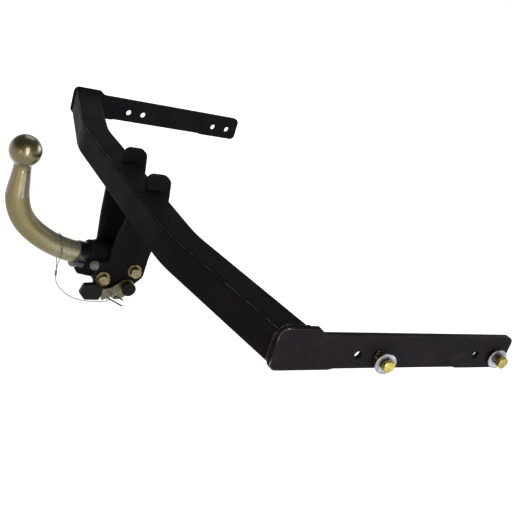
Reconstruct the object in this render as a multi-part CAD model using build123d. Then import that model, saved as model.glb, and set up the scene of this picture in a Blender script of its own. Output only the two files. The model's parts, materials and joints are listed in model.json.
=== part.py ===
from build123d import *
from math import cos, pi, radians, sin, sqrt, tan
import os

# A towbar with a swan neck that comes off, in millimetres. The origin is the middle of
# the ball, +X is the car's right, +Y is forward, under the car, and +Z is up.

# Ball and swan neck
ball_d = 50.0
throat_d = 27.4
throat_drop = 28.0            # from the ball's middle down to the top of the taper
throat_fillet = 7.0
taper_d = 35.2                # where the bend starts
neck_d = 37.0
neck_drop = 63.2              # from the ball's middle down to the start of the bend
bend_r = 83.0
bend_turn = 50.0
widening_turn = 6.0           # part of the bend over which the neck grows to its full size
flat_bend_r = 170.0           # the bend opens out before it meets the shank
shank_tilt = 10.0             # the shank runs down towards the front
shank_length = 109.0
shank_chamfer = 2.5

# Cross beam, a square tube whose ends are bent forward
beam_size = 50.0
beam_wall = 4.0
beam_corner_r = 5.5
beam_front = 202.0
beam_top = -13.0
bend_corner_x = 224.0
end_angle = 11.9
beam_bend_r = 250.0

# Side arms, which are bolted to the car
arm_inner_x = 473.0
arm_t = 8.0
arm_length = 403.5
arm_overhang = 0.0            # the arm starts level with the front of the beam's middle
arm_height = 51.2
arm_drop = 3.4                # top edge of the arm below the beam's top
arm_raise = 8.2               # the rear end stands higher than the rest
arm_raised_length = 58.0
arm_ramp = 11.0
arm_corner_r = 11.0
relief_depth = 1.8            # shallow cut along the lower edge
relief_start = 98.0
relief_short = 98.5           # where it ends, from the arm's front end
relief_ramp = 8.0
hole_d = 13.0
hole_drop = 33.0              # hole centres below the beam's top
rear_holes = (130.0, 164.0)   # from the arm's rear end
front_holes = (61.5, 24.5)    # from its front end
bead_leg = 6.0
bead_bulge = 0.8

# Coupling plates, which hook over the beam and carry the receiver
plate_t = 8.0
plate_inner_x = 55.0
lobe_inner_x = 33.5
slope_top = 94.0              # above the end of the neck's bend
knee_up = 54.0                # the slope gets less steep here
knee_inner_x = 43.0
slope_bottom = 13.0
slope_r = 14.0
hook_back = 24.0
hook_rise = 22.5
hook_back_r = 11.0
hook_front_r = 14.0
hook_ahead = 14.5             # top of the hook in front of the beam
plate_ahead = 21.5            # and the plate's front edge below it
web_rear = 9.0                # plate's rear edge in front of the beam's rear face
web_rear_low = 5.5            # and at the knee
plate_bead = 5.0
# corners of the lobe from the end of the neck's bend, forward and up
lobe_corners = (
    (114.1, 8.0), (113.0, -20.5), (95.5, -39.5), (74.5, -48.0),
    (42.5, -48.0), (30.5, -40.0), (28.0, -16.0), (31.1, 1.5), (48.5, 6.5),
)
lobe_radii = (4.0, 14.0, 16.0, 16.0, 7.0, 7.0, 5.0, 6.0, 4.0)

# Receiver between the plates
shank_play = 0.1
block_inset = 2.5             # block's edge inside the edge of the plates
block_top = 24.0              # above the shank's axis
block_front = 110.0
flange_r = 26.0
flange_start = 18.5
flange_round = 4.5
ring_r = 23.0
ring_below = 2.9              # the ring's middle below the shank's axis
ring_start = 1.8
ring_lean = 6.0               # its rear face leans forward at the top
ring_end = 16.7
ring_lip_play = 0.3
ring_round = 1.2
ring_plug_r = 21.0            # its front end, pressed into the flange
ring_plug_end = 24.0
nose_width = 30.0
nose_start = 8.0
nose_depth = 31.2             # below the shank's axis
nose_round = 8.0
bolt_places = ((46.3, -17.2), (94.5, 8.5))   # along the shank and above its axis

# Lock: a shaft across the receiver with a one-tooth cam under the shank
pivot_along = 89.7
pivot_below = 19.2
shaft_r = 7.0
bush_r = 10.0
bush_inner_x = 19.5
hub_r = 10.0
hub_width = 22.0
tooth_reach = 17.0
tooth_width = 8.0
tooth_thick = 20.0
tooth_round = 1.5
tooth_lean = 25.0             # forward of the shank's normal when locked
lever_turn = 100.0
neck_travel = 22.0
cam_gap = 0.5
slot_behind = 0.2             # the shank's slot starts this far before the pivot
slot_length = 11.5
block_slot_back = 2.5         # the block's slot for the turning tooth, behind the pivot
block_slot_top = 5.0          # and below the shank's axis
cam_pin_d = 4.0
thrust_r = 12.0
thrust_t = 4.0
far_washer_t = 2.0
clip_ring_t = 1.5
clip_ring_r = 10.3
groove_r = 6.3
shaft_end_past = 2.5
square = 9.8                  # across the flats of the shaft's square end

# Lever, bent outward to a plastic grip
lever_t = 5.0
lever_disc_r = 13.0
crease_back = 23.4            # from the pivot
grip_bend_back = 43.0
grip_offset = 13.0            # the grip's middle outside the lever's disc
tab_end_back = 75.0
lever_bend_r = 6.0
lever_arm = (
    (-8.4, 12.3), (-18.4, 3.0), (-26.4, -1.5), (-43.4, 0.2), (-75.0, 1.5),
    (-75.0, -11.5), (-46.0, -13.5), (-44.0, -20.8), (-26.0, -19.8), (-21.5, -22.5),
    (-17.4, -25.8), (-5.0, -24.5), (8.6, -9.9),
)
grip_outline = (
    (-79.0, 7.2), (-61.2, 9.5), (-46.0, 3.2), (-46.7, -9.7), (-50.0, -19.4),
    (-74.0, -20.0), (-84.0, -9.0),
)
grip_corner_r = 3.5
grip_t = 12.0
grip_edge_r = 2.4
cap_stem_r = 9.5
cap_stem_t = 8.7
cap_r = 12.0
cap_t = 3.6
cap_edge_r = 1.0
boss_width = 9.0
boss_t = 1.5
cap_socket = 4.0
lever_hole = (-17.1, -19.4)
lever_hole_d = 6.5

# Fasteners
bolt_d = 10.0
head_af = 17.0
head_t = 6.4
head_chamfer = 1.2
receiver_bolt_depth = 12.0
flat_washer_r = 12.0
flat_washer_t = 3.0
spring_washer_r = 9.2
spring_washer_t = 3.5
spring_gap = 2.0
arm_bolt_length = 40.0
arm_bolt_sag = (-1.2, -0.8)   # the loose bolts' axes from the holes' middles, forward and up
arm_washer_r = 15.2
arm_washer_t = 2.5
arm_washer_play = 0.9
arm_washer_lean = 8.0         # the loose washers hang a little askew
arm_washer_sag = 0.5
rear_bolt_out = 16.2          # outer face of the arm to the near face of the washer
rear_head_gap = 1.6           # its head stands off the washer
front_bolt_out = 7.3
front_head_gap = 5.2

# White plug in the rear edge of the near plate
plug_r = 7.9
plug_base = 30.3              # from the end of the neck's bend, along the shank
plug_length = 4.7
plug_stem_r = 3.0
plug_stem_length = 16.0

# Safety clip, a hairpin of wire, and its lanyard
clip_wire = 2.5
clip_way = (0.92, 0.37, 0.14)      # the way its legs point
clip_across = (0.303, -0.422, -0.855)
clip_gap = 9.2
clip_leg_in = 14.0
clip_leg_out = 22.0
clip_free_leg = 27.0
clip_bow_r = 4.0
lanyard_d = 1.2
eye_r = 3.2
eye_along = -8.0
eye_drop = 1.0
ferrule_d = 3.6
ferrule_length = 8.0
loop_top = 21.4               # loop over the neck, from its middle
loop_side = 20.3
ferrule_drop = 46.0
loop_back = 27.1              # loop's middle behind the end of the neck's bend
loop_middle = 7.1             # and above it

# Clearances
fit = 0.05
clear = 0.3
hole_clear = 0.5

os.makedirs("parts", exist_ok=True)

tilt = radians(shank_tilt)
turn = radians(bend_turn)
mouth_y = bend_r * (1 - cos(turn)) + flat_bend_r * (cos(turn) - sin(tilt))
mouth_z = -neck_drop - bend_r * sin(turn) + flat_bend_r * (sin(turn) - cos(tilt))
way_in = Vector(0, cos(tilt), -sin(tilt))
upward = Vector(0, sin(tilt), cos(tilt))
mouth = Vector(0, mouth_y, mouth_z)
receiver = Plane(origin=mouth, x_dir=way_in, z_dir=(1, 0, 0))
pivot = mouth + way_in * pivot_along - upward * pivot_below
beam_rear = beam_front - beam_size
beam_bottom = beam_top - beam_size
arm_rear = beam_front + arm_overhang
arm_outer_x = arm_inner_x + arm_t
plate_outer_x = plate_inner_x + plate_t
lobe_outer_x = lobe_inner_x + plate_t
lever_x = lobe_outer_x + thrust_t + lever_t / 2
bore_r = neck_d / 2 + shank_play
hole_places = rear_holes + tuple(arm_length - back for back in front_holes)
neck_r = neck_d / 2


def across(sketch, x_from, x_to):
    """A side-view sketch as a solid between two places along X."""
    return extrude(Pos(x_from, 0, 0) * (Plane.YZ * sketch), amount=x_to - x_from, dir=(1, 0, 0))


def across_receiver(sketch, x_from, x_to):
    """The same for a sketch drawn along the shank and above its axis."""
    return extrude(Pos(x_from, 0, 0) * (receiver * sketch), amount=x_to - x_from, dir=(1, 0, 0))


def along_shank(start, length, radius, up=0.0):
    """A cylinder on the shank's axis."""
    origin = mouth + way_in * start + upward * up
    disc = Plane(origin=origin, x_dir=(1, 0, 0), z_dir=way_in) * Circle(radius)
    return extrude(disc, amount=length)


def rod(x_from, x_to, radius, centre):
    """A cylinder along X through a point of the side view."""
    disc = Plane(origin=(x_from, centre.Y, centre.Z), z_dir=(1, 0, 0)) * Circle(radius)
    return extrude(disc, amount=x_to - x_from)


def polygon(points):
    return make_face(Polyline(*points, close=True))


def rounded(points, radii):
    """A polygon with each corner rounded by its own radius."""
    return make_face(FilletPolyline(*points, radius=list(radii), close=True))


def mirrored(part):
    return mirror(part, about=Plane.YZ)


def bead(start, end, leg_a, leg_b):
    """A weld bead with a bulged face, along an inside corner from start to end."""
    start = Vector(*start)
    end = Vector(*end)
    a = start + Vector(*leg_a)
    b = start + Vector(*leg_b)
    middle = (a + b) * 0.5 + (Vector(*leg_a) + Vector(*leg_b)).normalized() * bead_bulge
    face = make_face(Curve() + [Line(start, a), ThreePointArc(a, middle, b), Line(b, start)])
    return extrude(face, amount=(end - start).length, dir=(end - start).normalized())


def square_to(line, place):
    """The plane square to a line at its start or its end."""
    return Plane(origin=line @ place, x_dir=(1, 0, 0), z_dir=line % place)


def swan_neck():
    """Ball, tapered throat, swept bend and round shank with its lock cuts."""
    head = Sphere(ball_d / 2)
    taper = neck_drop - throat_drop
    head += Pos(0, 0, -neck_drop + taper / 2) * Cone(taper_d / 2, throat_d / 2, taper)
    throat_z = -sqrt((ball_d / 2) ** 2 - (throat_d / 2) ** 2)
    head += Pos(0, 0, (throat_z - throat_drop) / 2) * Cylinder(throat_d / 2, throat_drop + throat_z + 1)
    circles = head.edges().filter_by(GeomType.CIRCLE)
    throat = circles.sort_by(lambda e: abs(e.center().Z - throat_z))[0]
    head = fillet(throat, throat_fillet)
    widening = JernArc((0, -neck_drop), (0, -1), bend_r, widening_turn)
    first = JernArc(widening @ 1, widening % 1, bend_r, bend_turn - widening_turn)
    second = JernArc(first @ 1, first % 1, flat_bend_r, 90 - shank_tilt - bend_turn)
    begin = square_to(Plane.YZ * widening, 0) * Circle(taper_d / 2)
    full = square_to(Plane.YZ * widening, 1) * Circle(neck_r)
    bend = sweep([begin, full], path=Plane.YZ * widening, multisection=True)
    bend += sweep(full, path=Plane.YZ * (first + second))
    shank = along_shank(0, shank_length, neck_r)
    shank = chamfer(shank.faces().sort_by(lambda f: f.center().Y)[-1].edges(), shank_chamfer)
    flat_height = hub_r + cam_gap - pivot_below
    flat_start = pivot_along - hub_r - 1
    flat = Pos((flat_start + shank_length) / 2 + 1, flat_height - neck_r) * Rectangle(
        shank_length - flat_start + 2, 2 * neck_r)
    slot_start = pivot_along - slot_behind
    slot_end = slot_start + slot_length
    slot_top = tooth_reach + cam_gap - pivot_below
    slot = Pos((slot_start + slot_end) / 2, slot_top - neck_r) * Rectangle(slot_end - slot_start, 2 * neck_r)
    shank -= across_receiver(flat, -neck_r - 1, neck_r + 1)
    shank -= across_receiver(slot, -tooth_thick / 2 - cam_gap, tooth_thick / 2 + cam_gap)
    return head + bend + shank


def beam_centre_line():
    forward = tan(radians(end_angle)) * (arm_inner_x + 30 - bend_corner_x)
    middle = beam_front - beam_size / 2
    end_x = arm_inner_x + 30
    points = [(-end_x, middle + forward), (-bend_corner_x, middle), (bend_corner_x, middle),
              (end_x, middle + forward)]
    return FilletPolyline(*points, radius=beam_bend_r)


def cross_beam():
    """Square tube, bent forward at both ends and cut flat against the arms."""
    line = Pos(0, 0, beam_top - beam_size / 2) * beam_centre_line()
    inner = beam_size - 2 * beam_wall
    section = RectangleRounded(beam_size, beam_size, beam_corner_r)
    section -= RectangleRounded(inner, inner, beam_corner_r - beam_wall)
    start = Plane(origin=line @ 0, x_dir=(line % 0).cross(Vector(0, 0, 1)), z_dir=line % 0)
    tube = sweep(start * section, path=line)
    room = Box(2 * arm_inner_x, beam_front + arm_inner_x, 2 * beam_size)
    return tube & (Pos(0, beam_front, beam_top - beam_size / 2) * room)


def side_arm():
    """Right arm with its raised rear end, relief cut and bolt holes."""
    top = beam_top - arm_drop
    bottom = top - arm_height
    front = arm_rear + arm_length
    points = [
        (arm_rear, bottom), (arm_rear, top + arm_raise), (arm_rear + arm_raised_length, top + arm_raise),
        (arm_rear + arm_raised_length + arm_ramp, top), (front, top), (front, bottom),
    ]
    outline = rounded(points, [arm_corner_r, arm_corner_r, 6, 6, arm_corner_r, arm_corner_r])
    start = arm_rear + relief_start
    end = front - relief_short
    outline -= polygon([(start - relief_ramp, bottom), (start, bottom + relief_depth),
                        (end, bottom + relief_depth), (end + relief_ramp, bottom)])
    for place in hole_places:
        outline -= Pos(arm_rear + place, beam_top - hole_drop) * Circle(hole_d / 2)
    return across(outline, arm_inner_x, arm_outer_x)


def beam_end_y(x):
    """Front face of the bent beam end at a place along X."""
    half = beam_size / 2 / cos(radians(end_angle))
    middle = beam_front - beam_size / 2 + tan(radians(end_angle)) * (x - bend_corner_x)
    return middle + half


def beam_beads():
    """Four beads round the right end of the beam, on its flat faces."""
    x = arm_inner_x
    slope = tan(radians(end_angle))
    depth = beam_size / cos(radians(end_angle))
    front = beam_end_y(x)
    back = front - depth
    along = Vector(-1, -slope, 0).normalized() * bead_leg
    y0 = back + beam_corner_r + 1
    y1 = front - beam_corner_r - 1
    z0 = beam_bottom + beam_corner_r
    z1 = beam_top - beam_corner_r
    return Compound([
        bead((x, y0, beam_top), (x, y1, beam_top), (-bead_leg, 0, 0), (0, 0, bead_leg)),
        bead((x, y0, beam_bottom), (x, y1, beam_bottom), (-bead_leg, 0, 0), (0, 0, -bead_leg)),
        bead((x, front, z0), (x, front, z1), tuple(along), (0, bead_leg, 0)),
        bead((x, back, z0), (x, back, z1), tuple(along), (0, -bead_leg + 1.5, 0)),
    ])


def lobe_outline():
    points = [(mouth_y + y, mouth_z + z) for y, z in lobe_corners]
    return rounded(points, lobe_radii)


def side_plate():
    """Right coupling plate: hook, web and lobe, sloping inward from the beam to the receiver."""
    top = beam_top + hook_rise
    ahead = beam_front + plate_ahead
    hook = rounded(
        [(beam_front - hook_back, beam_top - 30), (beam_front - hook_back, top),
         (beam_front + hook_ahead, top), (ahead, beam_top - 30)], [2, hook_back_r, hook_front_r, 0.5])
    rear_low = beam_rear + web_rear_low
    low = mouth_z + lobe_corners[0][1] - 4
    web = polygon([(beam_rear + web_rear, beam_bottom), (rear_low, mouth_z + knee_up), (rear_low, low),
                   (ahead, low), (ahead, beam_top - 30), (beam_front - 5, beam_top - 25)])
    outline = hook + web + lobe_outline()
    outline -= Pos((beam_rear + beam_front) / 2 - 10, (beam_top + beam_bottom) / 2) * Rectangle(
        beam_size + 20, beam_size)
    plate = across(outline, lobe_inner_x, plate_outer_x)
    upper = plate_inner_x + plate_t / 2
    lower = lobe_inner_x + plate_t / 2
    line = FilletPolyline(
        (upper, top + 10), (upper, mouth_z + slope_top), (knee_inner_x + plate_t / 2, mouth_z + knee_up),
        (lower, mouth_z + slope_bottom), (lower, mouth_z - 80), radius=slope_r)
    bent = extrude(Plane.XZ * trace(line, plate_t), amount=600, both=True)
    plate &= bent
    for along, up in bolt_places:
        centre = mouth + way_in * along + upward * up
        plate -= rod(lobe_inner_x - 1, lobe_outer_x + 1, bolt_d / 2 + hole_clear, centre)
    plate -= rod(lobe_inner_x - 1, lobe_outer_x + 1, bush_r + fit, pivot)
    return plate


def plate_beads():
    """Beads where the right plate meets the beam."""
    inner = plate_inner_x
    outer = plate_outer_x
    back = beam_front - hook_back + 1
    z0 = beam_bottom + beam_corner_r
    z1 = beam_top - beam_corner_r
    front = beam_front - beam_corner_r
    rear = beam_rear + web_rear + 1
    leg = plate_bead
    return Compound([
        bead((outer, back, beam_top), (outer, front, beam_top), (leg, 0, 0), (0, 0, leg)),
        bead((outer, beam_front, z0), (outer, beam_front, z1), (leg, 0, 0), (0, leg, 0)),
        bead((inner, beam_front, z0), (inner, beam_front, z1), (-leg, 0, 0), (0, leg, 0)),
        bead((outer, rear, beam_bottom), (outer, front, beam_bottom), (leg, 0, 0), (0, 0, -leg)),
        bead((inner, rear, beam_bottom), (inner, front, beam_bottom), (-leg, 0, 0), (0, 0, -leg)),
    ])


def receiver_block():
    """Block bored for the shank, with a round flange to the rear and a nose below the ring."""
    points = [(mouth_y + y, mouth_z + z) for y, z in lobe_corners]
    body = offset(rounded(points, lobe_radii), -block_inset)
    block = across(body, -lobe_inner_x, lobe_inner_x)
    room = Pos(block_front / 2, block_top - 50) * Rectangle(block_front, 100)
    block &= across_receiver(room, -lobe_inner_x, lobe_inner_x)
    flange = along_shank(flange_start, pivot_along - flange_start, flange_r)
    rim = flange.edges().filter_by(GeomType.CIRCLE).sort_by(Axis.Y)[0]
    block += fillet(rim, flange_round)
    nose = rounded([(nose_start, -15), (nose_start, -nose_depth), (50, -nose_depth), (50, -15)],
                   [2, nose_round, 2, 2])
    nose = across_receiver(nose, -nose_width / 2, nose_width / 2)
    block += nose - along_shank(-20, 20 + flange_start, ring_r + clear, -ring_below)
    block -= along_shank(flange_start - 1, ring_plug_end + clear - flange_start + 1, ring_plug_r + fit)
    block -= along_shank(0, block_front + 20, bore_r)
    reach = tooth_reach + cam_gap
    slot = Pos(pivot_along - block_slot_back, -block_slot_top - reach) * Rectangle(2 * reach, 2 * reach)
    block -= across_receiver(slot, -hub_width / 2 - 1, hub_width / 2 + 1)
    block -= rod(-lobe_inner_x - 1, lobe_inner_x + 1, shaft_r + clear, pivot)
    for side in (1, -1):
        block -= rod(side * bush_inner_x, side * (lobe_inner_x + 1), bush_r + fit, pivot)
        for along, up in bolt_places:
            centre = mouth + way_in * along + upward * up
            depth = lobe_inner_x - receiver_bolt_depth - 1
            block -= rod(side * depth, side * (lobe_inner_x + 1), bolt_d / 2 + fit, centre)
    return block


def mouth_ring():
    """Ring round the neck, hanging a little below it, with a plug pressed into the flange."""
    ring = along_shank(-10, 10 + ring_end, ring_r, -ring_below)
    reach = 2 * ring_r
    lean = reach * tan(radians(ring_lean))
    behind = polygon([(-reach, reach), (ring_start + lean, reach), (ring_start - lean, -reach), (-reach, -reach)])
    ring -= across_receiver(behind, -reach, reach)
    ring = fillet(ring.faces().filter_by(GeomType.PLANE).edges(), ring_round)
    ring += along_shank(ring_end - 1, ring_plug_end - ring_end + 1, ring_plug_r)
    return ring - along_shank(-10, ring_plug_end + 20, neck_r + ring_lip_play)


def hex_bolt(length):
    """Bolt along +Z, with the underside of its head at zero and its shank below."""
    head = extrude(RegularPolygon(head_af / 2, 6, major_radius=False), amount=head_t)
    corner = head_af / sqrt(3)
    blank = Pos(0, 0, head_t / 2) * Cylinder(corner, head_t)
    blank = chamfer(blank.edges().filter_by(GeomType.CIRCLE).sort_by(Axis.Z)[-1], head_chamfer)
    shank = Pos(0, 0, -length / 2) * Cylinder(bolt_d / 2, length)
    shank = chamfer(shank.edges().filter_by(GeomType.CIRCLE).sort_by(Axis.Z)[0], 1.0)
    return (head & blank) + shank


def upright(x, centre, outward):
    """Where a fastener's head sits on a plane across X, with its head outward."""
    return Plane(origin=(x, centre.Y, centre.Z), x_dir=(0, 1, 0), z_dir=(outward, 0, 0))


def receiver_fasteners():
    """Bolts, flat washers and split spring washers, two of each on both sides."""
    bolts = []
    flats = []
    springs = []
    washer_x = lobe_outer_x + flat_washer_t
    head_x = washer_x + spring_washer_t
    bolt = hex_bolt(head_x - lobe_inner_x + receiver_bolt_depth)
    flat = extrude(Circle(flat_washer_r) - Circle(bolt_d / 2 + clear), amount=flat_washer_t)
    ring = Circle(spring_washer_r) - Circle(bolt_d / 2 + clear)
    ring -= Pos(0, spring_washer_r) * Rectangle(spring_gap, 2 * spring_washer_r - bolt_d / 2)
    spring = extrude(ring, amount=spring_washer_t)
    for side in (1, -1):
        for along, up in bolt_places:
            centre = mouth + way_in * along + upward * up
            bolts.append(upright(side * head_x, centre, side) * bolt)
            flats.append(upright(side * lobe_outer_x, centre, side) * flat)
            springs.append(upright(side * washer_x, centre, side) * spring)
    return Compound(bolts), Compound(flats), Compound(springs)


def lean_frame():
    """Side-view frame at the pivot whose second axis is the locked tooth's direction."""
    angle = radians(tooth_lean)
    return Plane(origin=pivot, x_dir=way_in * cos(angle) - upward * sin(angle), z_dir=(1, 0, 0))


def locking_shaft():
    """Round shaft across the receiver, grooved at one end and squared at the other."""
    far_end = -(lobe_outer_x + far_washer_t + clip_ring_t + shaft_end_past)
    shaft = rod(far_end, lobe_outer_x + thrust_t, shaft_r, pivot)
    square_end = lobe_outer_x + thrust_t + lever_t + cap_socket
    head = Pos(pivot.Y, pivot.Z) * RectangleRounded(square, square, 0.8)
    shaft += across(head, lobe_outer_x + thrust_t, square_end)
    groove_x = -(lobe_outer_x + far_washer_t)
    cut = rod(groove_x - clip_ring_t - fit, groove_x, shaft_r + 1, pivot)
    cut -= rod(groove_x - clip_ring_t - fit, groove_x, groove_r, pivot)
    shaft -= cut
    shaft -= cam_pin_hole()
    return shaft


def cam_pin_hole():
    frame = lean_frame()
    hole = Plane(origin=pivot, z_dir=frame.x_dir) * Circle(cam_pin_d / 2 + fit)
    return extrude(hole, amount=hub_r + 1, both=True)


def cam_pin():
    """Slotted spring pin through the cam's hub and the shaft."""
    frame = lean_frame()
    section = Circle(cam_pin_d / 2) - Circle(cam_pin_d / 2 - 0.8)
    section -= Pos(cam_pin_d / 2, 0) * Rectangle(cam_pin_d / 2, 0.6)
    half = sqrt(hub_r ** 2 - (cam_pin_d / 2) ** 2) - 0.2
    return extrude(Plane(origin=pivot, z_dir=frame.x_dir) * section, amount=half, both=True)


def lock_cam():
    """Hub with one tooth that stands in the slot of the shank."""
    hub = rod(-hub_width / 2, hub_width / 2, hub_r, pivot)
    frame = lean_frame()
    tooth = rounded(
        [(-tooth_width / 2, 0), (-tooth_width / 2, tooth_reach), (tooth_width / 2, tooth_reach),
         (tooth_width / 2, 0)], [0.2, tooth_round, tooth_round, 0.2])
    solid = extrude(Pos(-tooth_thick / 2, 0, 0) * (frame * tooth), amount=tooth_thick, dir=(1, 0, 0))
    cam = hub + solid
    cam -= rod(-hub_width, hub_width, shaft_r + fit, pivot)
    return cam - cam_pin_hole()


def shaft_bushes():
    """Bushes that carry the shaft in the plates and the block."""
    bushes = []
    for side in (1, -1):
        start = side * bush_inner_x
        end = side * lobe_outer_x
        bushes.append(rod(start, end, bush_r, pivot) - rod(start, end, shaft_r + fit, pivot))
    return Compound(bushes)


def thrust_washer():
    start = lobe_outer_x + fit
    end = lobe_outer_x + thrust_t
    return rod(start, end, thrust_r, pivot) - rod(start, end, shaft_r + fit, pivot)


def far_washer():
    start = -lobe_outer_x - fit
    end = -lobe_outer_x - far_washer_t
    return rod(start, end, thrust_r, pivot) - rod(start, end, shaft_r + fit, pivot)


def retaining_ring():
    """Open ring in the groove at the far end of the shaft."""
    start = -lobe_outer_x - far_washer_t
    ring = rod(start, start - clip_ring_t, clip_ring_r, pivot)
    ring -= rod(start + 1, start - clip_ring_t - 1, groove_r + fit, pivot)
    gap = Pos(pivot.Y + clip_ring_r, pivot.Z) * Rectangle(2 * clip_ring_r, 5)
    return ring - across(gap, start - clip_ring_t - 1, start + 1)


def at_pivot(points):
    return [(pivot.Y + y, pivot.Z + z) for y, z in points]


def lever_plate():
    """Stamped lever: disc on the shaft's square, arm, and a tab bent out to the grip."""
    outline = Pos(pivot.Y, pivot.Z) * Circle(lever_disc_r)
    outline += polygon(at_pivot(lever_arm))
    outline -= Pos(pivot.Y, pivot.Z) * RectangleRounded(square + 2 * fit, square + 2 * fit, 0.8)
    hole = Pos(pivot.Y + lever_hole[0], pivot.Z + lever_hole[1]) * Circle(lever_hole_d / 2)
    outline -= hole
    blank = across(outline, lobe_outer_x, lobe_outer_x + 40)
    line = FilletPolyline(
        (lever_x, pivot.Y + 20), (lever_x, pivot.Y - crease_back),
        (lever_x + grip_offset, pivot.Y - grip_bend_back),
        (lever_x + grip_offset, pivot.Y - tab_end_back - 10), radius=lever_bend_r)
    bent = extrude(Pos(0, 0, pivot.Z) * trace(line, lever_t), amount=60, both=True)
    return blank & bent


def lever_grip():
    """Plastic paddle moulded over the end of the tab."""
    outline = rounded(at_pivot(grip_outline), [grip_corner_r] * len(grip_outline))
    middle = lever_x + grip_offset
    grip = across(outline, middle - grip_t / 2, middle + grip_t / 2)
    grip = fillet(grip.faces().sort_by(Axis.X)[-1].edges(), grip_edge_r)
    grip = fillet(grip.faces().sort_by(Axis.X)[0].edges(), grip_edge_r)
    return grip - lever_plate()


def pivot_cap():
    """Plastic cap over the shaft's square end: a stem, a wider disc and a square boss."""
    start = lobe_outer_x + thrust_t + lever_t
    face = start + cap_stem_t + cap_t
    cap = rod(start + cap_stem_t, face, cap_r, pivot)
    cap = fillet(cap.edges().filter_by(GeomType.CIRCLE), cap_edge_r)
    cap += rod(start, face - cap_t / 2, cap_stem_r, pivot)
    boss = Pos(pivot.Y, pivot.Z) * RectangleRounded(boss_width, boss_width, 1.2)
    cap += across(boss, face, face + boss_t)
    socket = Pos(pivot.Y, pivot.Z) * RectangleRounded(square + 2 * fit, square + 2 * fit, 0.8)
    return cap - across(socket, start, start + cap_socket + 0.3)


def along_plate(start, length, radius):
    """A cylinder in the middle of the right plate's thickness, level with the shank's axis."""
    return Pos(lobe_inner_x + plate_t / 2, 0, 0) * along_shank(start, length, radius)


def end_plug():
    """White domed plug, with its stem in the rear edge of the near plate."""
    dome_start = plug_base - plug_length
    centre = mouth + way_in * dome_start + Vector(lobe_inner_x + plate_t / 2, 0, 0)
    dome = Pos(*centre) * Sphere(plug_r)
    return along_plate(dome_start, plug_length, plug_r) + dome - past_base() + stem()


def past_base():
    return along_plate(plug_base, 2 * plug_r, 2 * plug_r)


def stem():
    return along_plate(plug_base - 1, plug_stem_length + 1, plug_stem_r)


def plug_hole():
    return along_plate(plug_base, plug_stem_length + 0.5, plug_stem_r + fit)


def arm_bolt(place, out, head_gap):
    """A loose bolt and its large washer, which hang a little askew in a hole of the right arm."""
    centre = Vector(0, arm_rear + place + arm_bolt_sag[0], beam_top - hole_drop + arm_bolt_sag[1])
    washer_x = arm_outer_x + out
    washer = extrude(Circle(arm_washer_r) - Circle(bolt_d / 2 + arm_washer_play), amount=arm_washer_t)
    hung = Rot(0, -arm_washer_lean, 0) * Pos(0, -arm_washer_sag, 0) * washer
    head_x = washer_x + arm_washer_t + head_gap
    return upright(head_x, centre, 1) * hex_bolt(arm_bolt_length), upright(washer_x, centre, 1) * hung


def clip_point(along, across_legs):
    """A point by its distance along the clip's legs and down across them from the lever's hole."""
    hole = Vector(lever_x, pivot.Y + lever_hole[0], pivot.Z + lever_hole[1])
    way = Vector(*clip_way).normalized()
    down = Vector(*clip_across).normalized()
    return hole + way * along + down * across_legs


def tube(points, radii, diameter):
    """A round wire along straight runs joined by tangent arcs."""
    path = FilletPolyline(*points, radius=radii)
    section = Plane(origin=path @ 0, z_dir=path % 0) * Circle(diameter / 2)
    return sweep(section, path=path), path.length


def bend_radii(points):
    """Arc radius at each inner corner: 0.45 of the shorter run over the tangent of half the turn."""
    radii = []
    for before, corner, after in zip(points, points[1:], points[2:]):
        way_a = Vector(*corner) - Vector(*before)
        way_b = Vector(*after) - Vector(*corner)
        half = radians(way_a.get_angle(way_b)) / 2
        radii.append(round(0.45 * min(way_a.length, way_b.length) / tan(half), 2))
    return radii


def safety_clip():
    """Hairpin of wire, one leg through the lever's hole and the other under its edge."""
    points = [tuple(clip_point(a, d)) for a, d in (
        (clip_leg_out, 0), (-clip_leg_in, 0), (-clip_leg_in, clip_gap), (clip_free_leg, clip_gap))]
    return tube(points, [clip_bow_r, clip_bow_r], clip_wire)[0]


def clip_eye():
    """Small ring of the lanyard's wire round the clip's free leg."""
    centre = clip_point(eye_along, clip_gap + eye_drop)
    return Plane(origin=centre, z_dir=Vector(*clip_way)) * Torus(eye_r, lanyard_d / 2)


def loop_point(x, down):
    """A point of the loop over the neck, in a plane that leans with the hanging wire."""
    lean = radians(5)
    return (x, mouth_y - loop_back + down * sin(lean), mouth_z + loop_middle - down * cos(lean))


def lanyard_loop():
    """Wire over the neck, both ends in the ferrule below it."""
    near = [(1.0, ferrule_drop), (1.0, ferrule_drop - 8), (6.6, 26.0), (16.4, 13.8), (loop_side, 1.5),
            (loop_side, -10.8), (10.0, -loop_top)]
    points = [loop_point(x, down) for x, down in near]
    points += [loop_point(-x, down) for x, down in reversed(near)]
    return tube(points, bend_radii(points), lanyard_d), points


def lanyard_tail():
    """Wire from the ferrule under the grip to the clip's eye."""
    end = clip_point(eye_along, clip_gap + eye_drop + eye_r + lanyard_d / 2 + 0.4)
    points = [
        loop_point(0, ferrule_drop + ferrule_length), loop_point(0, ferrule_drop + ferrule_length + 7),
        (5.5, 93.0, -228.0), (16.0, 103.0, -235.5), (29.0, 117.5, -238.0), (37.0, 134.0, -237.0),
        (40.0, 152.0, -235.6), tuple(end),
    ]
    return tube(points, bend_radii(points), lanyard_d), points


def lanyard_ferrule():
    start = Vector(*loop_point(0, ferrule_drop))
    end = Vector(*loop_point(0, ferrule_drop + ferrule_length))
    way = end - start
    return extrude(Plane(origin=start, z_dir=way) * Circle(ferrule_d / 2), amount=way.length)


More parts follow.
